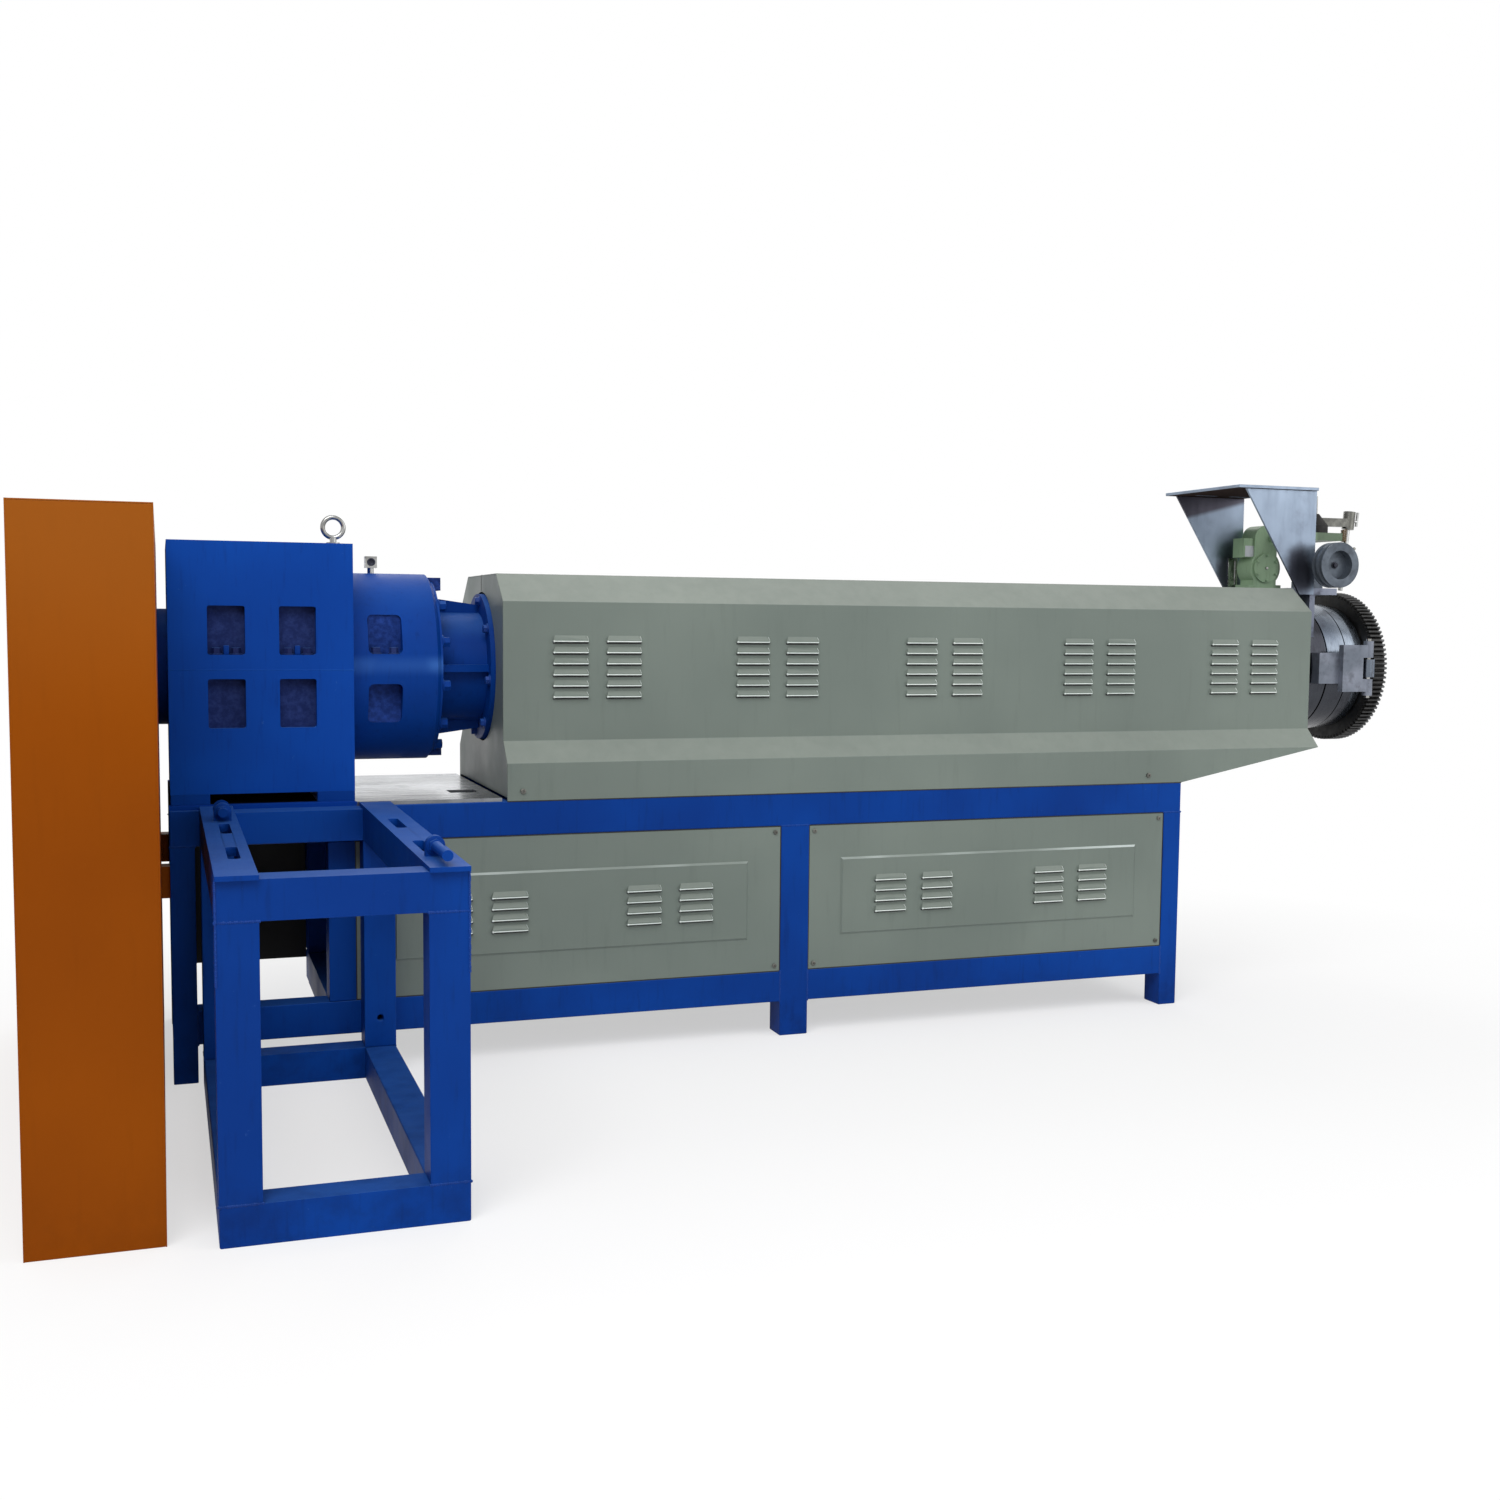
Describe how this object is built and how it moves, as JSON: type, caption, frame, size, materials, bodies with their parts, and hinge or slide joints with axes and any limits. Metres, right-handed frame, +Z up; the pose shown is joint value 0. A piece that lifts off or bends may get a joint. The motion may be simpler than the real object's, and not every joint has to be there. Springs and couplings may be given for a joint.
{
  "type": "plastic pelletizing extruder",
  "caption": "Extruder of a plastic pelletizing line: belt guard, empty motor stand, gearbox, hooded barrel on a welded frame and a hinged die head with a toothed lock ring.",
  "frame": {"origin": "on the floor, under the centre of the machine's bounding box", "axes": "+X along the barrel from the belt guard to the die head, +Y from the operator's side to the back, +Z up"},
  "size_m": [4.155, 2.055, 1.65],
  "materials": {
    "blue_paint": "gloss enamel, brushed and sprayed",
    "orange_paint": "gloss enamel on sheet",
    "grey_paint": "satin enamel on sheet",
    "deck_steel": "planed, oiled",
    "bright_steel": "turned",
    "stainless": "cold rolled sheet",
    "dark_steel": "blacked and greased",
    "cast_grey": "machined",
    "green_paint": "gloss enamel on castings",
    "plated_steel": "zinc plated",
    "barrel_steel": "plain, heat stained",
    "band_steel": "stainless cover, heat stained"
  },
  "bodies": {
    "machine": {"arm_swivel": "dark_steel", "barrel": "barrel_steel", "barrel_flange": "blue_paint", "barrel_supports": "barrel_steel", "base_cross_rails": "blue_paint", "base_legs": "blue_paint", "base_lower_rails": "blue_paint", "base_top_rails": "blue_paint", "breather": "plated_steel", "deck_plate": "deck_steel", "die_housing": "bright_steel", "drive_base_plate": "stainless", "drive_posts": "stainless", "drive_side_plates": "stainless", "drive_top_plate": "stainless", "front_panel_left": "grey_paint", "front_panel_right": "grey_paint", "gearbox_feet": "blue_paint", "gearbox_lower_case": "blue_paint", "gearbox_nose": "blue_paint", "gearbox_upper_case": "blue_paint", "guard_brackets": "orange_paint", "guard_front": "orange_paint", "guard_inner_side": "orange_paint", "guard_outer_side": "orange_paint", "guard_rear": "orange_paint", "guard_top": "orange_paint", "heater_bands": "band_steel", "hinge_bracket": "bright_steel", "hinge_pin": "plated_steel", "hood_end_front": "grey_paint", "hood_end_rear": "grey_paint", "hood_front": "grey_paint", "hood_rear": "grey_paint", "input_cap": "blue_paint", "lantern": "blue_paint", "lifting_eye": "plated_steel", "lock_arm": "cast_grey", "lock_handle": "plated_steel", "lock_rod": "plated_steel", "motor_rails": "blue_paint", "pulley_bearing": "cast_grey", "rear_panels": "grey_paint", "reducer": "green_paint", "stand_cross_rails": "blue_paint", "stand_floor_rails": "blue_paint", "stand_posts": "blue_paint", "tension_bolts": "blue_paint"},
    "die_door": {"die_door": "bright_steel", "die_plate": "bright_steel"},
    "lock_ring": {"lock_ring": "dark_steel"},
    "drive_pulley": {"drive_pulley": "cast_grey", "pulley_shaft": "plated_steel"}
  },
  "joints": [
    {"name": "die_door_hinge", "type": "hinge", "parent": "machine", "child": "die_door", "pos_m": [1.9725, 0.2705, 1.055], "axis": [0, 0, -1], "range_deg": [0, 105]},
    {"name": "lock_ring_turn", "type": "hinge", "parent": "die_door", "child": "lock_ring", "pos_m": [2.031, 0.5325, 1.055], "axis": [1, 0, 0], "continuous": true},
    {"name": "drive_pulley_turn", "type": "hinge", "parent": "machine", "child": "drive_pulley", "pos_m": [1.8195, 0.2645, 1.394], "axis": [0, 1, 0], "continuous": true}
  ]
}
